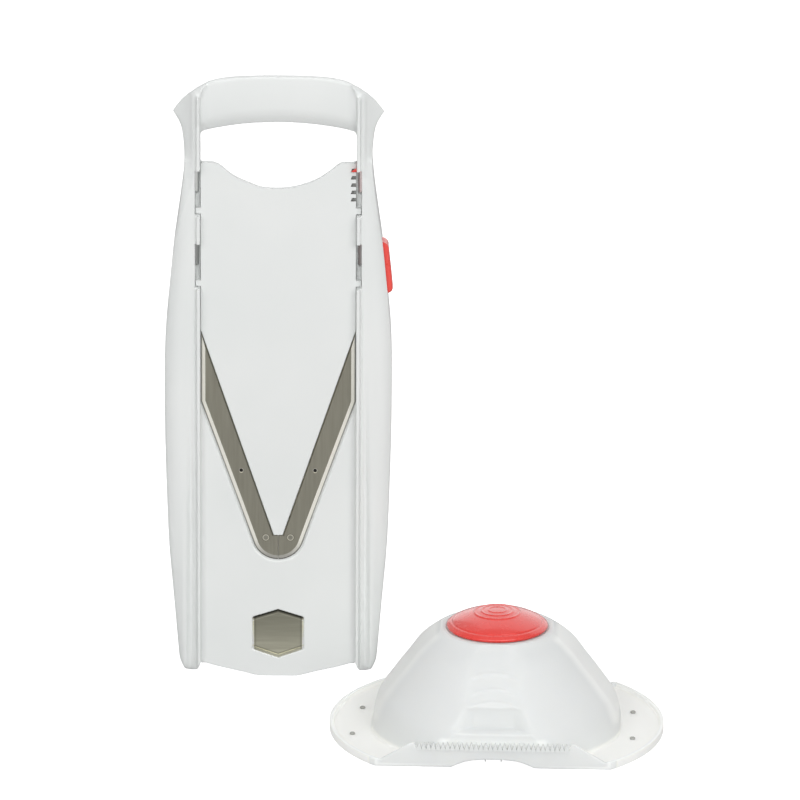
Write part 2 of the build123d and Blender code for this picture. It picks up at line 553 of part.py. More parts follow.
with BuildPart() as lever_spring:
    with BuildLine() as coil:
        Helix(pitch=1.15, height=4.4, radius=2.2, center=(45.4, 4.0, 215.0), direction=(1, 0, 0))
    with BuildSketch(Plane(origin=coil.line @ 0, z_dir=coil.line % 0)):
        Circle(0.3)
    sweep(path=coil.line, is_frenet=True)
lever_spring.part.label = "lever_spring"
export_step(lever_spring.part, "parts/lever_spring.step")

# ---------------------------------------------------------------- food holder
HOLD = Plane(origin=(HOLD_X, HOLD_Y, 0), x_dir=(cos(radians(HOLD_TURN)), sin(radians(HOLD_TURN)), 0), z_dir=(0, 0, 1))
# half sections of the dome: round body, side flats, flats at front and back with finger beads
ROUND = [(64.2, 0.0), (63.7, 7.5), (59.4, 19.9), (55.9, 25.0), (51.6, 31.2), (46.6, 38.0), (42.3, 44.2), (36.6, 49.7), (29.6, 54.4)]
SIDE = [(63.0, 0.0), (62.5, 7.5), (58.0, 19.9), (54.3, 25.0), (49.9, 31.2), (44.6, 38.0), (40.1, 44.2), (34.7, 49.7), (28.6, 54.4)]
FACE = [(58.2, 0.0), (58.2, 11.0), (57.9, 16.8), (56.5, 17.9), (55.6, 20.5), (53.9, 24.0), (51.6, 28.2), (51.4, 29.4), (50.0, 30.6),
        (46.9, 34.8), (46.6, 36.0), (45.2, 37.2), (42.2, 41.4), (41.8, 42.6), (40.3, 43.8), (38.9, 45.4), (34.8, 49.7), (28.8, 54.4)]
SHELL = 2.3
NECK_R, NECK_Z = 13.0, 43.5
WING_T = 1.9           # thickness of the wings
STUDS = [(-69.0, 20.0), (-72.5, -19.0), (69.0, 20.0), (69.5, -19.0)]
STUD_R = 1.2
NEEDLES = [(-4.0, -53.4), (4.0, -53.4), (-4.0, 53.4), (4.0, 53.4)]

HOLD_XZ = Plane(origin=(HOLD_X, HOLD_Y, 0), x_dir=HOLD.x_dir, z_dir=-HOLD.y_dir)
HOLD_YZ = Plane(origin=(HOLD_X, HOLD_Y, 0), x_dir=HOLD.y_dir, z_dir=HOLD.x_dir)


def inward(points, t):
    # the same half section, t mm further in, closed at its own top
    return [(r - t, z) for r, z in points if z < 50.0] + [(points[-1][0] - t + 0.6, 52.0)]


def side_face(points):
    return points + [(-r, z) for r, z in reversed(points)]


with BuildPart() as dome_hollow:
    inner = inward(ROUND, SHELL)
    with BuildSketch(HOLD_XZ):
        with BuildLine():
            Polyline((0, inner[-1][1]), (0, -0.5), (inner[0][0], -0.5), inner[0])
            Spline(*inner)
            Line(inner[-1], (0, inner[-1][1]))
        make_face()
    revolve(axis=Axis((HOLD_X, HOLD_Y, 0), (0, 0, 1)))
    with BuildSketch(HOLD_XZ):
        Polygon(*([(SIDE[0][0] - SHELL, -1.0)] + inward(SIDE, SHELL) + mirror_pts(inward(SIDE, SHELL))[::-1] + [(SHELL - SIDE[0][0], -1.0)]), align=None)
    extrude(amount=80, both=True, mode=Mode.INTERSECT)
    with BuildSketch(HOLD_YZ):
        plain = [(r - 0.5, z) for r, z in FACE if z not in (11.0, 16.8, 29.4, 36.0, 42.6)]
        Polygon(*([(plain[0][0] - SHELL, -1.0)] + inward(plain, SHELL) + mirror_pts(inward(plain, SHELL))[::-1] + [(SHELL - plain[0][0], -1.0)]), align=None)
    extrude(amount=80, both=True, mode=Mode.INTERSECT)

with BuildPart() as holder_shell:
    # dome: a round body with flats on four sides
    with BuildSketch(HOLD_XZ):
        with BuildLine():
            Polyline((0, ROUND[-1][1]), (0, 0), ROUND[0])
            Spline(*ROUND)
            Line(ROUND[-1], (0, ROUND[-1][1]))
        make_face()
    revolve(axis=Axis((HOLD_X, HOLD_Y, 0), (0, 0, 1)))
    with BuildSketch(HOLD_XZ):
        with BuildLine():
            Polyline((-SIDE[-1][0], SIDE[-1][1]), (-SIDE[-1][0], 60.0), (SIDE[-1][0], 60.0), SIDE[-1])
            Spline(*SIDE[::-1])
            Polyline(SIDE[0], (SIDE[0][0], -1.0), (-SIDE[0][0], -1.0), (-SIDE[0][0], 0.0))
            Spline(*mirror_pts(SIDE))
        make_face()
    extrude(amount=80, both=True, mode=Mode.INTERSECT)
    with BuildSketch(HOLD_YZ):
        Polygon(*([(FACE[0][0], -1.0)] + FACE + mirror_pts(FACE)[::-1] + [(-FACE[0][0], -1.0)]), align=None)
    extrude(amount=80, both=True, mode=Mode.INTERSECT)
    # wings: a disc cut straight at front and back
    with BuildSketch(HOLD):
        Circle(WING_R)
        Rectangle(2 * WING_R, 2 * FLAT, mode=Mode.INTERSECT)
    extrude(amount=WING_T)
    with BuildSketch(HOLD):
        Circle(WING_R)
        Circle(WING_R - 2.0, mode=Mode.SUBTRACT)
        Rectangle(2 * WING_R, 2 * FLAT, mode=Mode.INTERSECT)
    extrude(amount=4.3)
    # straight walls with a toothed upper edge
    wall_plane = Plane(origin=HOLD.from_local_coords((0, -FLAT, 0)), x_dir=HOLD.x_dir, z_dir=-HOLD.y_dir)
    teeth = []
    for i in range(32):
        x = -37.2 + 2.4 * i
        teeth += [(x - 1.2, 9.5), (x, 12.9)]
    with BuildSketch(wall_plane):
        Polygon((-58.9, 0), (-58.9, 2.2), (-41.5, 12.6), (-39.6, 12.6), *teeth, (38.4, 9.5), (39.6, 12.6), (41.5, 12.6), (58.9, 2.2), (58.9, 0), align=None)
    extrude(amount=-2.2)
    back_plane = Plane(origin=HOLD.from_local_coords((0, FLAT, 0)), x_dir=HOLD.x_dir, z_dir=-HOLD.y_dir)
    with BuildSketch(back_plane):
        Polygon((-58.9, 0), (-58.9, 2.2), (-41.5, 12.6), (-39.6, 12.6), *teeth, (38.4, 9.5), (39.6, 12.6), (41.5, 12.6), (58.9, 2.2), (58.9, 0), align=None)
    extrude(amount=2.2)
    # hollow, and the round seat of the cap
    add(dome_hollow.part, mode=Mode.SUBTRACT)
    with BuildSketch(HOLD.offset(53.9)):
        Circle(26.3)
    extrude(amount=3, mode=Mode.SUBTRACT)
    # neck of the plunger
    with BuildSketch(HOLD.offset(NECK_Z)):
        Circle(NECK_R)
    extrude(amount=53.9 - NECK_Z)
    with BuildSketch(HOLD.offset(NECK_Z - 1)):
        Circle(10.45)
    extrude(amount=20.0, mode=Mode.SUBTRACT)
    # bosses of the fixed needles
    with BuildSketch(HOLD.offset(9.0)):
        with Locations(*NEEDLES):
            Circle(2.6)
    extrude(amount=7.0)
    with BuildSketch(HOLD.offset(8.0)):
        with Locations(*NEEDLES):
            Circle(0.8)
    extrude(amount=6.6, mode=Mode.SUBTRACT)
    # arched cut-outs of both walls
    arch_plane = Plane(origin=HOLD.from_local_coords((0, -70, 0)), x_dir=HOLD.x_dir, z_dir=-HOLD.y_dir)
    with BuildSketch(arch_plane):
        with BuildLine():
            Polyline((20.8, 0.0), (20.8, -1.0), (-20.8, -1.0), (-20.8, 0.0))
            Spline((-20.8, 0.0), (-17.4, 1.6), (-12.2, 3.3), (-5.0, 4.1), (5.0, 4.1), (12.2, 3.3), (17.4, 1.6), (20.8, 0.0))
        make_face()
    extrude(amount=-140, mode=Mode.SUBTRACT)
    # holes of the wing studs
    with BuildSketch(HOLD.offset(-1)):
        with Locations(*STUDS):
            Circle(STUD_R)
    extrude(amount=6.0, mode=Mode.SUBTRACT)
holder_shell.part.label = "holder_shell"
export_step(holder_shell.part, "parts/holder_shell.step")

with BuildPart() as wing_studs:
    with BuildSketch(HOLD.offset(0.3)):
        with Locations(*STUDS):
            Circle(STUD_R)
    extrude(amount=WING_T - 0.3)
    with BuildSketch(HOLD.offset(WING_T)):
        with Locations(*STUDS):
            Circle(1.35)
    extrude(amount=0.9)
    fillet(wing_studs.edges().group_by(Axis.Z)[-1], 0.5)
wing_studs.part.label = "wing_studs"
export_step(wing_studs.part, "parts/wing_studs.step")

with BuildPart() as guide_bush:
    with BuildSketch(HOLD.offset(NECK_Z)):
        Circle(10.45)
        Circle(BORE_R, mode=Mode.SUBTRACT)
    extrude(amount=53.9 - NECK_Z)
    with BuildSketch(HOLD.offset(NECK_Z)):
        Circle(12.4)
        Circle(BORE_R, mode=Mode.SUBTRACT)
    extrude(amount=-1.4)
guide_bush.part.label = "guide_bush"
export_step(guide_bush.part, "parts/guide_bush.step")

with BuildPart() as holder_needles:
    with BuildSketch(HOLD.offset(14.5)):
        with Locations(*NEEDLES):
            Circle(0.8)
    extrude(amount=-9.9)
    for nx, ny in NEEDLES:
        with BuildSketch(HOLD.offset(4.6)):
            with Locations((nx, ny)):
                Circle(0.8)
        with BuildSketch(HOLD.offset(0.3)):
            with Locations((nx, ny)):
                Circle(0.12)
        loft()
holder_needles.part.label = "holder_needles"
export_step(holder_needles.part, "parts/holder_needles.step")

# ---------------------------------------------------------------- plunger
CAP_R = 25.7
PLATE_Z = 18.0
SPIKES = [(0.0, 12.0)] + [(12.0 * cos(radians(a)), 12.0 * sin(radians(a))) for a in (0, 180, 270)] + \
         [(21.0 * cos(radians(a)), 21.0 * sin(radians(a))) for a in (45, 135, 225, 315)]

with BuildPart() as push_cap:
    with BuildSketch(Plane(origin=(HOLD_X, HOLD_Y, 0), x_dir=(1, 0, 0), z_dir=(0, -1, 0))):
        with BuildLine():
            Polyline((0, 60.9), (0, 63.4))
            Spline((0, 63.4), (9.0, 62.6), (18.0, 60.0), (24.6, 56.6), tangents=((1, 0), (1, -0.75)))
            Spline((24.6, 56.6), (25.7, 55.5), (25.3, 54.3), tangents=((1, -0.75), (-0.4, -0.6)))
            Polyline((25.3, 54.3), (23.0, 54.3), (22.6, 55.6))
            Spline((22.6, 55.6), (16.0, 58.6), (0, 60.9), tangents=((-1, 0.55), (-1, 0)))
        make_face()
    revolve(axis=Axis((HOLD_X, HOLD_Y, 0), (0, 0, 1)))
    # groove inside the rim
    with BuildSketch(Plane(origin=(HOLD_X, HOLD_Y, 0), x_dir=(1, 0, 0), z_dir=(0, -1, 0))):
        with Locations((23.3, 57.75)):
            Circle(0.6)
    revolve(axis=Axis((HOLD_X, HOLD_Y, 0), (0, 0, 1)), mode=Mode.SUBTRACT)
    # raised grip rings
    with BuildSketch(Plane(origin=(HOLD_X, HOLD_Y, 0), x_dir=(1, 0, 0), z_dir=(0, -1, 0))):
        with Locations((4.4, 63.05), (7.9, 62.62), (11.4, 61.95)):
            Circle(0.55)
    revolve(axis=Axis((HOLD_X, HOLD_Y, 0), (0, 0, 1)))
    with BuildSketch(HOLD.offset(55.0)):
        Circle(11.6)
    extrude(amount=5.6)
    with BuildSketch(HOLD.offset(54.0)):
        Circle(SHAFT_R)
    extrude(amount=4.0, mode=Mode.SUBTRACT)
push_cap.part.label = "push_cap"
export_step(push_cap.part, "parts/push_cap.step")

with BuildPart() as plunger_shaft:
    with BuildSketch(HOLD.offset(PLATE_Z + 2.5)):
        Circle(SHAFT_R)
    extrude(amount=58.0 - PLATE_Z - 2.5)
    with BuildSketch(HOLD.offset(PLATE_Z + 2.5)):
        Circle(1.6)
    extrude(amount=10.0, mode=Mode.SUBTRACT)
    with BuildSketch(HOLD.offset(58.0)):
        Circle(6.6)
    extrude(amount=-24.0, mode=Mode.SUBTRACT)
plunger_shaft.part.label = "plunger_shaft"
export_step(plunger_shaft.part, "parts/plunger_shaft.step")

with BuildPart() as pusher_plate:
    with BuildSketch(HOLD.offset(PLATE_Z)):
        Circle(26.0)
    extrude(amount=2.5)
    fillet(pusher_plate.edges().filter_by(GeomType.CIRCLE).group_by(Axis.Z)[-1], 1.0)
    with BuildSketch(HOLD.offset(PLATE_Z)):
        with Locations(*SPIKES):
            Circle(1.0)
        Circle(2.0)
    extrude(amount=2.5, mode=Mode.SUBTRACT)
pusher_plate.part.label = "pusher_plate"
export_step(pusher_plate.part, "parts/pusher_plate.step")

with BuildPart() as pusher_spikes:
    with BuildSketch(HOLD.offset(PLATE_Z + 2.5)):
        with Locations(*SPIKES):
            Circle(1.0)
    extrude(amount=-8.5)
    for sx, sy in SPIKES:
        with BuildSketch(HOLD.offset(PLATE_Z - 6.0)):
            with Locations((sx, sy)):
                Circle(1.0)
        with BuildSketch(HOLD.offset(PLATE_Z - 10.0)):
            with Locations((sx, sy)):
                Circle(0.15)
        loft()
pusher_spikes.part.label = "pusher_spikes"
export_step(pusher_spikes.part, "parts/pusher_spikes.step")

with BuildPart() as plunger_screw:
    with BuildSketch(HOLD.offset(PLATE_Z)):
        Circle(3.8)
    extrude(amount=-2.2)
    with BuildSketch(HOLD.offset(PLATE_Z)):
        Circle(1.5)
    extrude(amount=11.5)
    with BuildSketch(HOLD.offset(PLATE_Z - 2.2)):
        Rectangle(4.4, 0.9)
        Rectangle(0.9, 4.4)
    extrude(amount=1.2, mode=Mode.SUBTRACT)
plunger_screw.part.label = "plunger_screw"
export_step(plunger_screw.part, "parts/plunger_screw.step")
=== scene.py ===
import bpy, bmesh, math
import numpy as np
from mathutils import Matrix, Vector


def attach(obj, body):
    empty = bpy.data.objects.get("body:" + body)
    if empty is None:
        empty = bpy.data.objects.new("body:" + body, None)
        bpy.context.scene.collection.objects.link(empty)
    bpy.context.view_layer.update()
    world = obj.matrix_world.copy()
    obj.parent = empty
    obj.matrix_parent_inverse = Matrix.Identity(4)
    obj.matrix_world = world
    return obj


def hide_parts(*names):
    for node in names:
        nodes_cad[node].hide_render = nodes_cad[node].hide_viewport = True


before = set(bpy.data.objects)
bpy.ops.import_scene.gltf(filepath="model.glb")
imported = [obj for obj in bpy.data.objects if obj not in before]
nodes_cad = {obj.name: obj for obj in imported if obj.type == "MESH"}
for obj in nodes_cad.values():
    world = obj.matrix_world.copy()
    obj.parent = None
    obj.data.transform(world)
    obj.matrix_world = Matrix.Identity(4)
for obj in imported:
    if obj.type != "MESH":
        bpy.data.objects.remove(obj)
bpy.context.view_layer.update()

MM = 0.001
scene = bpy.context.scene
scene.view_settings.view_transform = "Standard"
scene.view_settings.look = "None"
scene.view_settings.exposure = 0.0


# ------------------------------------------------------------------ materials
def new_mat(name):
    m = bpy.data.materials.new(name)
    m.use_nodes = True
    nt = m.node_tree
    b = nt.nodes["Principled BSDF"]
    return m, nt, b


def noise(nt, scale, detail=3.0, rough=0.5, stretch=None):
    tc = nt.nodes.new("ShaderNodeTexCoord")
    n = nt.nodes.new("ShaderNodeTexNoise")
    n.inputs["Scale"].default_value = scale
    n.inputs["Detail"].default_value = detail
    n.inputs["Roughness"].default_value = rough
    if stretch:
        mp = nt.nodes.new("ShaderNodeMapping")
        mp.inputs["Scale"].default_value = stretch[0]
        mp.inputs["Rotation"].default_value = stretch[1]
        nt.links.new(tc.outputs["Object"], mp.inputs["Vector"])
        nt.links.new(mp.outputs["Vector"], n.inputs["Vector"])
    else:
        nt.links.new(tc.outputs["Object"], n.inputs["Vector"])
    return n


def ramp(nt, src, stops):
    r = nt.nodes.new("ShaderNodeValToRGB")
    cr = r.color_ramp
    while len(cr.elements) < len(stops):
        cr.elements.new(0.5)
    for e, (p, c) in zip(cr.elements, stops):
        e.position = p
        e.color = (c[0], c[1], c[2], 1.0) if isinstance(c, (tuple, list)) else (c, c, c, 1.0)
    nt.links.new(src, r.inputs["Fac"])
    return r


def bump(nt, b, src, strength, dist):
    bp = nt.nodes.new("ShaderNodeBump")
    bp.inputs["Strength"].default_value = strength
    bp.inputs["Distance"].default_value = dist
    nt.links.new(src, bp.inputs["Height"])
    nt.links.new(bp.outputs["Normal"], b.inputs["Normal"])


def plastic(name, lo, hi, r_lo, r_hi, sss=0.0, coat=0.0, grain=0.02):
    m, nt, b = new_mat(name)
    big = noise(nt, 14.0, 2.0)
    c = ramp(nt, big.outputs["Fac"], [(0.35, lo), (0.65, hi)])
    nt.links.new(c.outputs["Color"], b.inputs["Base Color"])
    mid = noise(nt, 160.0, 3.0)
    r = ramp(nt, mid.outputs["Fac"], [(0.3, r_lo), (0.7, r_hi)])
    nt.links.new(r.outputs["Color"], b.inputs["Roughness"])
    fine = noise(nt, 2600.0, 2.0)
    bump(nt, b, fine.outputs["Fac"], grain, 0.0001)
    b.inputs["IOR"].default_value = 1.5
    b.inputs["Specular IOR Level"].default_value = 0.42
    if sss:
        b.inputs["Subsurface Weight"].default_value = sss
        b.inputs["Subsurface Radius"].default_value = (1.0, 0.95, 0.88)
        b.inputs["Subsurface Scale"].default_value = 0.007
        b.inputs["Specular IOR Level"].default_value = 0.25
    if coat:
        b.inputs["Coat Weight"].default_value = coat
        b.inputs["Coat Roughness"].default_value = 0.12
    return m


def steel(name, lo, hi, r_lo, r_hi, stretch, strength=0.12):
    m, nt, b = new_mat(name)
    b.inputs["Metallic"].default_value = 1.0
    st = noise(nt, 900.0, 4.0, 0.6, stretch)
    c = ramp(nt, st.outputs["Fac"], [(0.3, lo), (0.7, hi)])
    nt.links.new(c.outputs["Color"], b.inputs["Base Color"])
    r = ramp(nt, st.outputs["Fac"], [(0.3, r_lo), (0.7, r_hi)])
    nt.links.new(r.outputs["Color"], b.inputs["Roughness"])
    bump(nt, b, st.outputs["Fac"], strength, 0.00005)
    return m


WHITE = plastic("white_plastic", (0.755, 0.775, 0.765), (0.785, 0.80, 0.79), 0.30, 0.40)
MILKY = plastic("milky_plastic", (0.755, 0.775, 0.765), (0.785, 0.80, 0.79), 0.46, 0.56, sss=0.6)
EDGE = plastic("milky_edge", (0.755, 0.775, 0.765), (0.785, 0.80, 0.79), 0.46, 0.56)
nt = MILKY.node_tree
b = nt.nodes["Principled BSDF"]
tint = b.inputs["Base Color"].links[0].from_socket
# painted light: the wings, and the side flats of the dome at a third, are made lighter and slightly yellower in the
# base colour
att = nt.nodes.new("ShaderNodeAttribute")
att.attribute_name = "wing_tint_and_painted_light"
mix = nt.nodes.new("ShaderNodeMix")
mix.data_type = "RGBA"
nt.links.new(att.outputs["Fac"], mix.inputs["Factor"])
nt.links.new(tint, mix.inputs["A"])
mix.inputs["B"].default_value = (0.93, 0.93, 0.885, 1.0)
nt.links.new(mix.outputs["Result"], b.inputs["Base Color"])
# painted glow: emission standing in for light that comes through thin places of the milky plastic, also on the side
# flats and in the shaded gap behind the wall teeth
att = nt.nodes.new("ShaderNodeAttribute")
att.attribute_name = "glow"
nt.links.new(att.outputs["Fac"], b.inputs["Emission Strength"])
b.inputs["Emission Color"].default_value = (1.0, 0.995, 0.95, 1.0)
RED = plastic("red_plastic", (0.80, 0.078, 0.064), (0.86, 0.094, 0.076), 0.26, 0.34, coat=0.25)
RED_CAP = plastic("red_plastic_cap", (0.73, 0.043, 0.034), (0.79, 0.052, 0.042), 0.24, 0.32, coat=0.6)
va = math.atan2(37.2, 110.2)
BLADE_R = steel("blade_steel_right", (0.365, 0.35, 0.285), (0.41, 0.395, 0.325), 0.33, 0.40, ((1.0, 1.0, 0.05), (0, -va, 0)), 0.05)
BLADE_L = steel("blade_steel_left", (0.365, 0.35, 0.285), (0.41, 0.395, 0.325), 0.33, 0.40, ((1.0, 1.0, 0.05), (0, va, 0)), 0.05)
RIVET = steel("rivet_steel", (0.40, 0.385, 0.32), (0.46, 0.445, 0.375), 0.28, 0.36, ((1.0, 1.0, 1.0), (0, 0, 0)), 0.05)
PIN = steel("pin_steel", (0.035, 0.034, 0.03), (0.06, 0.058, 0.052), 0.30, 0.40, ((1.0, 1.0, 1.0), (0, 0, 0)), 0.05)
BADGE = steel("badge_steel", (0.39, 0.38, 0.30), (0.46, 0.45, 0.36), 0.32, 0.42, ((0.05, 1.0, 1.0), (0, 0, 0)), 0.06)
# the rolled rim's bright cream colour is a painted reflection on the blade steel
BEVEL = steel("rolled_rim_painted_reflection", (0.88, 0.86, 0.78), (0.93, 0.91, 0.83), 0.28, 0.36, ((1.0, 1.0, 0.2), (0, 0, 0)), 0.05)
BEVEL.node_tree.nodes["Principled BSDF"].inputs["Metallic"].default_value = 0.35
GROUND = steel("ground_edge", (0.34, 0.325, 0.27), (0.40, 0.385, 0.32), 0.28, 0.36, ((1.0, 1.0, 0.2), (0, 0, 0)), 0.05)


def value(nt, op, a, b=None, c=None):
    """One step of arithmetic in a material; a, b and c are sockets or numbers."""
    n = nt.nodes.new("ShaderNodeMath")
    n.operation = op
    for i, v in enumerate((a, b, c)):
        if v is None:
            continue
        if isinstance(v, (int, float)):
            n.inputs[i].default_value = v
        else:
            nt.links.new(v, n.inputs[i])
    return n.outputs[0]


def front_view(nt):
    """|X| and Z of a point in mm."""
    tc = nt.nodes.new("ShaderNodeTexCoord")
    sp = nt.nodes.new("ShaderNodeSeparateXYZ")
    nt.links.new(tc.outputs["Object"], sp.inputs[0])
    return value(nt, "MULTIPLY", value(nt, "ABSOLUTE", sp.outputs["X"]), 1000.0), value(nt, "MULTIPLY", sp.outputs["Z"], 1000.0)


def blend(m, factor, stops):
    """Multiply the colour of a material by a ramp over factor (0 to 1)."""
    nt = m.node_tree
    b = nt.nodes["Principled BSDF"]
    base = b.inputs["Base Color"].links[0].from_socket
    mix = nt.nodes.new("ShaderNodeMix")
    mix.data_type = "RGBA"
    mix.blend_type = "MULTIPLY"
    mix.inputs["Factor"].default_value = 1.0
    nt.links.new(base, mix.inputs["A"])
    nt.links.new(ramp(nt, factor, stops).outputs["Color"], mix.inputs["B"])
    nt.links.new(mix.outputs["Result"], b.inputs["Base Color"])


# rolled rim, with painted reflection and shadow: bright inside as painted reflection, greyer round the tip of the V,
# and a painted shadow darkening its outer edge
nt = BEVEL.node_tree
ax, az = front_view(nt)
slant = value(nt, "SUBTRACT", value(nt, "MULTIPLY", value(nt, "SUBTRACT", ax, 39.45), 0.9427), value(nt, "MULTIPLY", value(nt, "SUBTRACT", az, 148.6), 0.3337))
upright = value(nt, "SUBTRACT", ax, 39.45)
lowz = value(nt, "SUBTRACT", az, 76.5)
arc = value(nt, "SUBTRACT", value(nt, "SQRT", value(nt, "ADD", value(nt, "MULTIPLY", ax, ax), value(nt, "MULTIPLY", lowz, lowz))), 13.15)
low = value(nt, "LESS_THAN", az, 72.6)
edge = value(nt, "ADD", value(nt, "MULTIPLY", arc, low), value(nt, "MULTIPLY", value(nt, "MAXIMUM", slant, upright), value(nt, "SUBTRACT", 1.0, low)))
blend(BEVEL, value(nt, "ADD", value(nt, "DIVIDE", edge, 2.4), 1.0), [(0.0, 1.0), (0.70, 1.0), (0.77, 0.6), (0.84, 0.5), (0.91, 0.14), (1.0, 0.08)])
blend(BEVEL, value(nt, "DIVIDE", value(nt, "SUBTRACT", az, 62.0), 16.0), [(0.0, 0.42), (0.25, 0.5), (0.75, 0.95), (1.0, 1.0)])
# badge, with painted light and shade: a painted shadow under its upper edges with thin lighter and darker lines just
# inside it, bright painted highlights at its upright sides, paler towards its foot as painted light from above, and a
# thin darker line along its lower edges
nt = BADGE.node_tree
ax, az = front_view(nt)
roof = value(nt, "SUBTRACT", value(nt, "ADD", value(nt, "MULTIPLY", ax, 0.3032), value(nt, "MULTIPLY", value(nt, "SUBTRACT", az, 36.08), 0.9529)), 0.0)
foot = value(nt, "SUBTRACT", value(nt, "MULTIPLY", ax, 0.3354), value(nt, "MULTIPLY", value(nt, "SUBTRACT", az, 9.82), 0.9421))
blend(BADGE, value(nt, "DIVIDE", value(nt, "SUBTRACT", az, 9.7), 26.5), [(0.0, 1.7), (0.2, 1.35), (0.55, 0.98), (1.0, 0.74)])
blend(BADGE, value(nt, "ADD", value(nt, "DIVIDE", roof, 4.0), 1.0), [(0.0, 1.0), (0.40, 1.0), (0.46, 1.3), (0.54, 1.3), (0.60, 0.62), (0.66, 0.9), (0.78, 0.26), (1.0, 0.12)])
blend(BADGE, value(nt, "ADD", value(nt, "DIVIDE", foot, 4.0), 1.0), [(0.0, 1.0), (0.40, 1.0), (0.48, 0.72), (0.56, 0.72), (0.64, 1.0), (0.85, 1.0), (1.0, 1.0)])
blend(BADGE, value(nt, "DIVIDE", ax, 13.1), [(0.0, 1.0), (0.84, 1.0), (0.89, 0.8), (0.93, 0.8), (0.955, 2.6), (1.0, 2.6)])
# rings of the rivets and pins: each rivet head is brighter in a ring near its rim and darker outside it; each pin gets
# a painted highlight ring round its dark centre
for mat, (cx, cz), stops in ((RIVET, (6.3, 75.2), [(0.0, 0.92), (0.58, 0.95), (0.66, 1.9), (0.80, 1.9), (0.90, 0.55), (1.0, 0.5)]),
                             (PIN, (18.9, 111.4), [(0.0, 1.0), (0.42, 1.0), (0.50, 15.0), (0.62, 15.0), (0.66, 6.0), (1.0, 6.0)])):
    nt = mat.node_tree
    ax, az = front_view(nt)
    dx, dz = value(nt, "SUBTRACT", ax, cx), value(nt, "SUBTRACT", az, cz)
    blend(mat, value(nt, "DIVIDE", value(nt, "SQRT", value(nt, "ADD", value(nt, "MULTIPLY", dx, dx), value(nt, "MULTIPLY", dz, dz))), 2.0), stops)

RUBBER = plastic("stud_rubber", (0.33, 0.33, 0.31), (0.40, 0.40, 0.375), 0.5, 0.65, grain=0.08)
STEEL = steel("bright_steel", (0.55, 0.55, 0.53), (0.68, 0.68, 0.66), 0.2, 0.3, ((1.0, 1.0, 1.0), (0, 0, 0)), 0.05)

MAT = {"frame": WHITE, "handle_back_cover": WHITE, "left_rail_cover": WHITE, "right_rail_cover": WHITE,
       "slicing_insert": WHITE, "left_blade": BLADE_L, "right_blade": BLADE_R, "badge_plate": BADGE,
       "release_lever": RED, "push_cap": RED_CAP, "holder_shell": MILKY, "guide_bush": MILKY,
       "plunger_shaft": MILKY, "pusher_plate": MILKY, "blade_rivets": RIVET, "blade_locating_pins": PIN, "wing_studs": RUBBER}
for name, o in nodes_cad.items():
    o.data.materials.clear()
    o.data.materials.append(MAT.get(name, STEEL))

# ------------------------------------------------------------------ moulded shapes
def dense(node, name, voxel, place=Matrix(), trim=None):
    """Even, fine mesh of a CAD node, to be shaped further; returns object and coordinates in mm, in place's axes."""
    src = nodes_cad[node]
    bm = bmesh.new()
    bm.from_mesh(src.data)
    bmesh.ops.transform(bm, matrix=place.inverted() @ src.matrix_world, verts=bm.verts)
    bmesh.ops.remove_doubles(bm, verts=bm.verts, dist=2e-6)
    if trim:
        for v in bm.verts:
            trim(v.co)
    me = bpy.data.meshes.new(name)
    bm.to_mesh(me)
    bm.free()
    o = bpy.data.objects.new(name, me)
    scene.collection.objects.link(o)
    md = o.modifiers.new("fine", "REMESH")
    md.mode = "VOXEL"
    md.voxel_size = voxel * MM
    fine = bpy.data.meshes.new_from_object(o.evaluated_get(bpy.context.evaluated_depsgraph_get()))
    o.modifiers.clear()
    o.data = fine
    c = np.empty(len(fine.vertices) * 3)
    fine.vertices.foreach_get("co", c)
    return o, c.reshape(-1, 3) / MM


def links(me):
    e = np.empty(len(me.edges) * 2, dtype=np.int64)
    me.edges.foreach_get("vertices", e)
    return e.reshape(-1, 2)


def relax(c, e, rounds, lam, back=0.0, weight=None):
    """Smooth a mesh; a negative second pass (back) keeps its volume."""
    n = len(c)
    deg = np.maximum(np.bincount(e.ravel(), minlength=n), 1).astype(float)[:, None]
    w = 1.0 if weight is None else weight[:, None]
    for k in range(rounds):
        for f in (lam, -back) if back else (lam,):
            s = np.empty_like(c)
            for a in range(3):
                s[:, a] = np.bincount(e[:, 0], c[e[:, 1], a], n) + np.bincount(e[:, 1], c[e[:, 0], a], n)
            c = c + f * w * (s / deg - c)
    return c


def store(o, c):
    o.data.vertices.foreach_set("co", (c * MM).ravel())
    o.data.polygons.foreach_set("use_smooth", np.ones(len(o.data.polygons), dtype=bool))
    o.data.update()


def step(a, b, v):
    t = np.clip((v - a) / (b - a), 0.0, 1.0)
    return t * t * (3 - 2 * t)


def fall(d, reach, depth, power):
    return depth * np.clip(1 - d / reach, 0.0, 1.0) ** power


OUTER = np.array([(43.0, -2.0), (44.8, 0.0), (48.0, 3.3), (50.0, 7.4), (51.0, 13.0), (53.9, 48.0), (55.7, 69.0), (56.9, 96.0), (57.8, 127.0),
                  (58.1, 155.0), (57.2, 190.0), (55.6, 207.0), (52.9, 234.0), (50.1, 254.0), (48.3, 269.0),
                  (47.8, 281.0), (48.4, 289.0), (49.8, 295.6), (52.0, 299.6), (53.3, 301.5), (53.8, 302.7),
                  (53.3, 304.0), (50.9, 307.1), (46.9, 311.3), (41.4, 315.9), (35.5, 319.0), (20.0, 321.7),
                  (0.0, 322.2), (-20.0, 321.7)])


def curve(p, per=24):
    out = []
    for i in range(1, len(p) - 2):
        t = np.linspace(0, 1, per, endpoint=False)[:, None]
        a, b, c, d = p[i - 1], p[i], p[i + 1], p[i + 2]
        out.append(0.5 * (2 * b + (c - a) * t + (2 * a - 5 * b + 4 * c - d) * t ** 2 + (3 * b - a - 3 * c + d) * t ** 3))
    return np.concatenate(out)


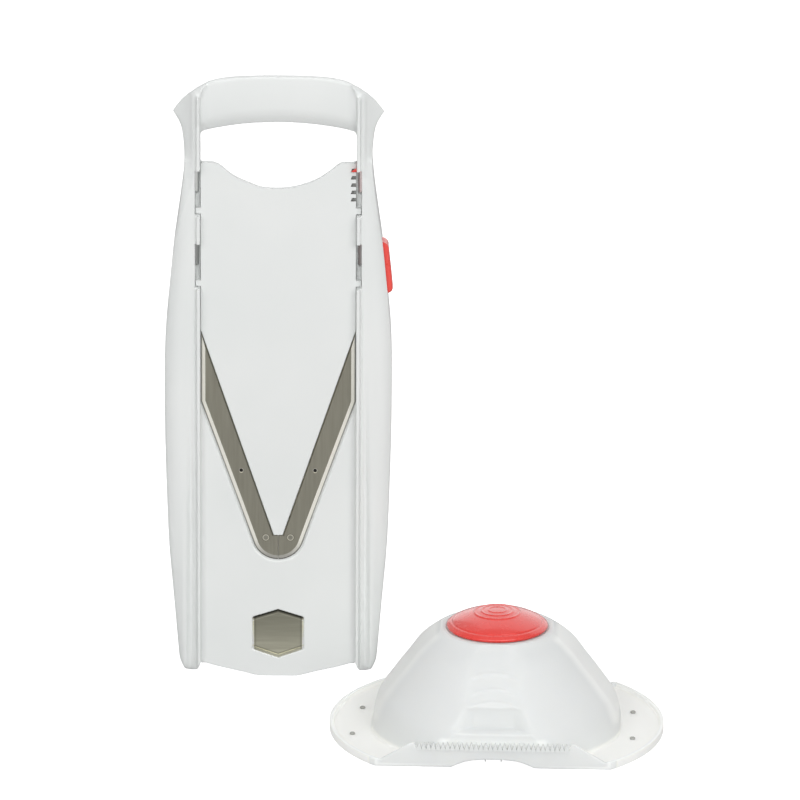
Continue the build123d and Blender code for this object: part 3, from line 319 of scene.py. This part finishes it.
RIM = curve(OUTER)
GX, GZ = np.arange(0, 62.5, 0.5), np.arange(-3, 326.5, 0.5)
GRID = np.empty((len(GX), len(GZ)))
for i, gx in enumerate(GX):
    GRID[i] = np.sqrt(((gx - RIM[:, 0])[:, None] ** 2 + (RIM[:, 1][:, None] - GZ[None, :]) ** 2).min(0))


def rim_distance(ax, z):
    u = np.clip((ax - GX[0]) / 0.5, 0, len(GX) - 1.001)
    v = np.clip((z - GZ[0]) / 0.5, 0, len(GZ) - 1.001)
    i, j = u.astype(int), v.astype(int)
    u, v = u - i, v - j
    return (GRID[i, j] * (1 - u) * (1 - v) + GRID[i + 1, j] * u * (1 - v) + GRID[i, j + 1] * (1 - u) * v + GRID[i + 1, j + 1] * u * v)


SEAT_EDGE = np.array([(39.45, 186.2), (39.45, 148.6), (20.6, 95.7), (12.55, 72.6)]
                     + [(13.15 * math.sin(a), 76.5 - 13.15 * math.cos(a)) for a in np.radians(np.arange(72, -1, -4))])


def edge_distance(ax, z):
    """Distance to the outer edge of a blade, right half."""
    best = np.full(len(ax), 99.0)
    for (xa, za), (xb, zb) in zip(SEAT_EDGE, SEAT_EDGE[1:]):
        ux, uz = xb - xa, zb - za
        t = np.clip(((ax - xa) * ux + (z - za) * uz) / (ux * ux + uz * uz), 0, 1)
        best = np.minimum(best, np.hypot(ax - xa - t * ux, z - za - t * uz))
    return best


def thin(o, faces):
    """Collapse a dense mesh to about this many triangles where it is flat."""
    o.data.calc_loop_triangles()
    md = o.modifiers.new("thin", "DECIMATE")
    md.ratio = min(1.0, faces / len(o.data.loop_triangles))
    me = bpy.data.meshes.new_from_object(o.evaluated_get(bpy.context.evaluated_depsgraph_get()))
    o.modifiers.clear()
    o.data = me
    o.data.polygons.foreach_set("use_smooth", np.ones(len(me.polygons), dtype=bool))
    o.data.update()


def inside(o, node):
    """Keep a shaped piece inside the box of the node it stands for."""
    c = np.empty(len(o.data.vertices) * 3)
    o.data.vertices.foreach_get("co", c)
    src = nodes_cad[node]
    p = np.array([src.matrix_world @ v.co for v in src.data.vertices])
    c = np.clip(c.reshape(-1, 3), p.min(0), p.max(0))
    o.data.vertices.foreach_set("co", c.ravel())
    o.data.update()


def shape_frame():
    o, c = dense("frame", "frame_moulded", 0.5)
    e = links(o.data)
    c = relax(c, e, 4, 0.5, 0.52)
    x, y, z = c[:, 0], c[:, 1], c[:, 2]
    ax = np.abs(x)
    d = rim_distance(ax, z)
    rail = 1 - step(226, 262, z)
    top = step(307, 313, z) * (1 - step(39, 45, ax))
    bar = step(290.5, 293.5, z) * (1 - step(39.0, 39.9, ax))
    side = step(41.0, 44.0, ax)
    dy = rail * fall(d, 8.5, 2.9 + 0.9 * step(60, 150, z), 2.2) * side
    dy += (1 - rail) * (1 - top) * fall(d, 2.4, 0.7, 2.0) * side
    dy += fall(np.clip(z, 0, 99), 7.0, 2.6, 2.0) * side
    dy += 0.75 * np.exp(-((ax - 42.3) / 0.6) ** 2) * (1 - step(194, 210, z))
    dy += 1.5 * np.exp(-((ax - 44.7) / 1.7) ** 2) * (1 - step(70, 190, z))
    dy -= 0.5 * np.exp(-((ax - 48.6) / 1.8) ** 2) * (1 - step(50, 130, z))
    dy += step(262, 286, z) * step(43.0, 45.0, ax) * 0.4 * (ax - 43.0)
    low = 292.6 + 4.6 * (1 - np.clip(ax / 37.6, 0, 1.05) ** 2)
    dy += bar * fall(np.clip(z - low, 0, 99), 8.5, 2.8, 1.9)
    dy += bar * 0.006 * (z - 310.5) ** 2
    dy -= bar * fall(39.75 - ax, 5.0, 1.8, 2.0)
    lift = 4.6 * np.clip((43.4 - ax) / 3.6, 0, 1) ** 1.6 * np.clip(1 - z / 17.0, 0, 1)
    lift += 1.5 * np.clip((ax - 45.0) / 4.5, 0, 1) ** 2 * np.clip(1 - z / 11.0, 0, 1)
    lift *= np.clip((5.0 - y) / 7.0, 0, 1) * step(39.2, 40.0, ax)
    window = step(197.0, 203.0, z) * (1 - step(236.0, 242.0, z)) * step(42.6, 44.4, ax)
    pawl = step(266.0, 269.5, z) * (1 - step(276.5, 280.0, z)) * step(38.0, 39.0, ax) * (1 - step(48.0, 50.5, ax))
    move = dy * ((1 - window) * (1 - pawl) * np.clip((6.0 - y) / 11.0, 0.0, 1.0)
                 + window * np.clip(-0.2 - y, 0.0, 5.0) / 5.0 + pawl * np.clip(-2.9 - y, 0.0, 2.3) / 2.3)
    move += top * fall(d, 1.2, 0.8, 2.0) * np.clip((3.0 - y) / 6.0, 0.0, 1.0)
    g = edge_distance(ax, z)
    move += 0.9 * np.exp(-((g - 0.45) / 0.4) ** 2) * step(-0.2, -1.2, y) * (y < -0.2) * (y > -2.2) * (z < 186)
    c[:, 1] = y + move
    c[:, 2] = z + lift
    c = relax(c, e, 3, 0.5, 0.52)
    ends = step(35.5, 37.5, ax) * (1 - step(42.8, 44.5, ax)) * step(293.5, 297.0, z) * (1 - step(317.0, 319.5, z)) * (y < 4.0)
    store(o, relax(c, e, 16, 0.5, weight=ends))
    thin(o, 190000)
    inside(o, "frame")
    return o


HOLDER = Matrix.Translation((0.112, -0.0779, 0.0)) @ Matrix.Rotation(math.radians(-2.2), 4, "Z")


WALL_Y = 60.7


def no_teeth(p):
    """Wall of the holder level with the ground of its teeth; the teeth are set on it as sharp shapes."""
    if abs(p.y) > 0.0583 and p.z > 0.0096 and abs(p.x) < 0.0385:
        p.z = 0.0095


def shape_holder():
    o, c = dense("holder_shell", "holder_moulded", 0.4, HOLDER, no_teeth)
    e = links(o.data)
    lx, ly, pz = c[:, 0], c[:, 1], c[:, 2]
    c = relax(c, e, 3, 0.5, 0.52)
    body = step(5.0, 9.0, pz) * (1 - step(49.0, 52.5, pz)) * (1 - step(56.6, 57.6, np.abs(ly)))
    fingers = (1 - step(15.0, 24.0, np.abs(lx))) * step(20.0, 32.0, np.abs(ly)) * (1 - step(44.5, 46.0, pz))
    c = relax(c, e, 40, 0.5, weight=body * (1 - fingers))
    c = relax(c, e, 24, 0.5, weight=body * fingers * step(28.0, 30.0, pz))
    c = relax(c, e, 6, 0.5, weight=body * fingers)
    # no edges between the flats and the round body above the finger rests
    lx, ly, pz = c[:, 0], c[:, 1], c[:, 2]
    at = np.flatnonzero((np.abs(lx) < 30) & (np.abs(ly) > 12) & (pz > 35) & (pz < 53.2))
    place = np.full(len(c), -1)
    place[at] = np.arange(len(at))
    ee = place[e]
    ee = ee[(ee >= 0).all(1)]
    soft = (1 - step(22, 29, np.abs(lx[at]))) * step(13, 18, np.abs(ly[at])) * step(36, 41, pz[at]) * (1 - step(50.0, 52.5, pz[at]))
    c[at] = relax(c[at], ee, 110, 0.5, weight=soft)
    # finger rests at front and back: a scoop over a ledge, three curved ribs above it
    lx, ly, pz = c[:, 0], c[:, 1], c[:, 2]
    across = 1 - step(9.5, 18.5, np.abs(lx))
    scoop = 3.8 * step(16.4, 18.4, pz) * np.clip((28.5 - pz) / 10.0, 0.0, 1.0) ** 0.8 * across * (np.abs(ly) > 40)
    ribs = sum(np.exp(-((pz - at + 0.018 * lx ** 2) / 0.7) ** 2) for at in (31.0, 36.4, 43.2))
    ribs *= 0.5 * (1 - step(9.0, 13.5, np.abs(lx))) * (np.abs(ly) > 30)
    c[:, 1] += np.sign(ly) * (0.78 * ribs - scoop)
    c[:, 2] += 0.62 * ribs
    c = relax(c, e, 2, 0.5, weight=body * fingers)
    turn = np.array(HOLDER.to_3x3())
    c = c @ turn.T + np.array(HOLDER.translation) / MM
    store(o, c)
    thin(o, 180000)
    inside(o, "holder_shell")
    n = len(o.data.vertices)
    v = np.empty(n * 3)
    o.data.vertices.foreach_get("co", v)
    v = (v.reshape(-1, 3) / MM - np.array(HOLDER.translation) / MM) @ turn
    # wings and side flats lightened in colour as painted light, the wings also slightly yellower
    wing_tint_and_painted_light = (1 - step(2.6, 4.8, v[:, 2])) * step(61.0, 65.0, np.hypot(v[:, 0], v[:, 1])) * (1 - step(57.4, 58.4, np.abs(v[:, 1])))
    flat = np.interp(v[:, 2], [7.5, 19.9, 25.0, 31.2, 38.0, 44.2, 49.7, 54.4], [62.5, 58.0, 54.3, 49.9, 44.6, 40.1, 34.7, 28.6])
    sides = step(-3.2, -0.2, np.abs(v[:, 0]) - flat) * step(6.0, 12.0, v[:, 2]) * (1 - step(52.0, 54.0, v[:, 2]))
    o.data.attributes.new("wing_tint_and_painted_light", "FLOAT", "POINT").data.foreach_set("value", np.maximum(wing_tint_and_painted_light, 0.3 * sides))
    # painted glow on the wing rims, the side flats (more on the right), the gap behind the teeth and the corners of the
    # walls
    rim = step(82.4, 83.2, np.hypot(v[:, 0], v[:, 1])) * (1 - step(57.4, 58.4, np.abs(v[:, 1])))
    glow = np.maximum(np.maximum(0.065 * wing_tint_and_painted_light, 0.12 * rim), sides * (0.075 + 0.015 * np.sign(v[:, 0])))
    low = 1 - step(13.0, 15.0, v[:, 2])
    behind = step(55.5, 57.0, np.abs(v[:, 1])) * (1 - step(59.6, 60.4, np.abs(v[:, 1]))) * low * step(7.0, 8.5, v[:, 2])
    tips = step(57.0, 58.2, np.abs(v[:, 0])) * step(57.5, 58.5, np.abs(v[:, 1])) * low
    glow = np.maximum(glow, np.maximum(0.15 * behind, 0.12 * tips))
    o.data.attributes.new("glow", "FLOAT", "POINT").data.foreach_set("value", glow)
    return o


def shape_cap():
    o, c = dense("push_cap", "cap_moulded", 0.3)
    e = links(o.data)
    store(o, relax(c, e, 12, 0.5, 0.52))
    thin(o, 90000)
    inside(o, "push_cap")
    return o


def shape_teeth():
    """Teeth of the holder's walls, front and back."""
    bm = bmesh.new()
    for s in (-1, 1):
        for i in range(32):
            mid = -37.2 + 2.4 * i
            ring = []
            for depth in (WALL_Y - 0.02, WALL_Y - 2.18):
                ring.append([bm.verts.new(HOLDER @ Vector((px * MM, s * depth * MM, pz * MM)))
                             for px, pz in ((mid - 1.3, 9.0), (mid + 1.3, 9.0), (mid + 0.08, 12.85), (mid - 0.08, 12.85))])
            a, b = ring if s < 0 else ring[::-1]
            bm.faces.new(a)
            bm.faces.new(b[::-1])
            for k in range(4):
                bm.faces.new((a[k], b[k], b[(k + 1) % 4], a[(k + 1) % 4]))
    me = bpy.data.meshes.new("wall_teeth")
    bm.to_mesh(me)
    bm.free()
    o = bpy.data.objects.new("wall_teeth", me)
    scene.collection.objects.link(o)
    return o


frame_moulded = shape_frame()
frame_moulded.data.materials.append(WHITE)
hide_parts("frame")
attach(frame_moulded, "slicer_frame")
holder_moulded = shape_holder()
holder_moulded.data.materials.append(MILKY)
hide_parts("holder_shell")
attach(holder_moulded, "holder")
wall_teeth = shape_teeth()
wall_teeth.data.materials.append(EDGE)
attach(wall_teeth, "holder")
cap_moulded = shape_cap()
cap_moulded.data.materials.append(RED_CAP)
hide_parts("push_cap")
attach(cap_moulded, "plunger")

# ground faces of the blades
for name, s in (("left_blade", -1), ("right_blade", 1)):
    o = nodes_cad[name]
    o.data.materials.append(BEVEL)
    o.data.materials.append(GROUND)
    for p in o.data.polygons:
        n = p.normal
        if -0.99 < n.y < -0.9:
            p.material_index = 1
        elif -0.9 <= n.y < -0.5:
            p.material_index = 2

# inner side of the rail covers, seen through the slots of the insert: painted glow, an emission standing in for
# daylight through the thin rails, stronger towards the top
INNER_WHITE = plastic("white_plastic_inside_painted_glow", (0.755, 0.775, 0.765), (0.785, 0.80, 0.79), 0.30, 0.40)
nt = INNER_WHITE.node_tree
ax, az = front_view(nt)
lit = ramp(nt, value(nt, "DIVIDE", value(nt, "SUBTRACT", az, 200.0), 80.0), [(0.0, 0.10), (0.50, 0.13), (0.72, 0.30), (1.0, 0.34)])
nt.links.new(lit.outputs["Color"], nt.nodes["Principled BSDF"].inputs["Emission Strength"])
nt.nodes["Principled BSDF"].inputs["Emission Color"].default_value = (1.0, 1.0, 0.98, 1.0)
for name in ("left_rail_cover", "right_rail_cover"):
    o = nodes_cad[name]
    o.data.materials.append(INNER_WHITE)
    for p in o.data.polygons:
        if (o.matrix_world.to_3x3() @ p.normal).y < -0.7:
            p.material_index = 1

# notches of the insert: painted shade, dark grey inside
NOTCH_SHADE = plastic("notch_painted_shade", (0.27, 0.275, 0.265), (0.33, 0.335, 0.325), 0.5, 0.65, grain=0.05)
o = nodes_cad["slicing_insert"]
o.data.materials.append(NOTCH_SHADE)
for p in o.data.polygons:
    c = o.matrix_world @ p.center
    if 0.0366 < c.x < 0.0395 and -0.00145 < c.y < 0.0010 and any(abs(c.z - 0.2722 + 0.003875 * i) < 0.00101 for i in range(5)):
        p.material_index = 1


# ------------------------------------------------------------------ stage
def plane(name, pts):
    me = bpy.data.meshes.new(name)
    me.from_pydata(pts, [], [(0, 1, 2, 3)])
    o = bpy.data.objects.new(name, me)
    scene.collection.objects.link(o)
    return o


m, nt, b = new_mat("paper_white")
b.inputs["Base Color"].default_value = (0.9, 0.9, 0.9, 1)
b.inputs["Roughness"].default_value = 0.8
b.inputs["Specular IOR Level"].default_value = 0.1
b.inputs["Emission Color"].default_value = (1, 1, 1, 1)
b.inputs["Emission Strength"].default_value = 0.9
PAPER = m
floor = plane("floor", [(-18, -18, -0.0004), (18, -18, -0.0004), (18, 9, -0.0004), (-18, 9, -0.0004)])
floor.data.materials.append(PAPER)
wall = plane("backdrop", [(-18, 9, -0.0004), (18, 9, -0.0004), (18, 9, 18), (-18, 9, 18)])
wall.data.materials.append(PAPER)
front = plane("backdrop_front", [(-18, -12, -0.0004), (18, -12, -0.0004), (18, -12, 18), (-18, -12, 18)])
front.data.materials.append(PAPER)
front.visible_shadow = False
for o in (floor, wall, front):
    o.visible_diffuse = False
    o.visible_glossy = False
wall.visible_glossy = True


def area(name, loc, target, size, size_y, power, color=(1, 1, 1)):
    l = bpy.data.lights.new(name, "AREA")
    l.shape = "RECTANGLE"
    l.size, l.size_y = size, size_y
    l.energy = power
    l.color = color
    o = bpy.data.objects.new(name, l)
    o.location = loc
    o.rotation_euler = (Vector(target) - Vector(loc)).to_track_quat("-Z", "Y").to_euler()
    scene.collection.objects.link(o)
    return o


area("front_right", (0.95, -2.3, 1.5), (0.06, 0, 0.15), 1.8, 1.2, 30.5)
area("front_left", (-0.75, -2.4, 1.3), (0.06, 0, 0.15), 1.8, 1.2, 22)
area("top", (0.25, -0.3, 2.2), (0.06, -0.03, 0.15), 1.6, 1.6, 2.0)
w = bpy.data.worlds.new("studio")
scene.world = w
w.use_nodes = True
w.node_tree.nodes["Background"].inputs["Color"].default_value = (1, 1, 1, 1)
w.node_tree.nodes["Background"].inputs["Strength"].default_value = 0.48

# ------------------------------------------------------------------ camera
cam = bpy.data.cameras.new("camera")
cam.lens = 500.0
cam.sensor_width = 36.0
cam.clip_end = 50.0
co = bpy.data.objects.new("camera", cam)
right = Vector((0.99999048, 0.00136281, 0.00414502))
up = Vector((-0.00436331, 0.31233195, 0.94996301))
back = Vector((0.0, -0.94997, 0.31234))
m4 = Matrix((right, up, back)).transposed().to_4x4()
m4.translation = Vector((62.2, -5393.58, 1922.58)) * MM
co.matrix_world = m4
scene.collection.objects.link(co)
scene.camera = co
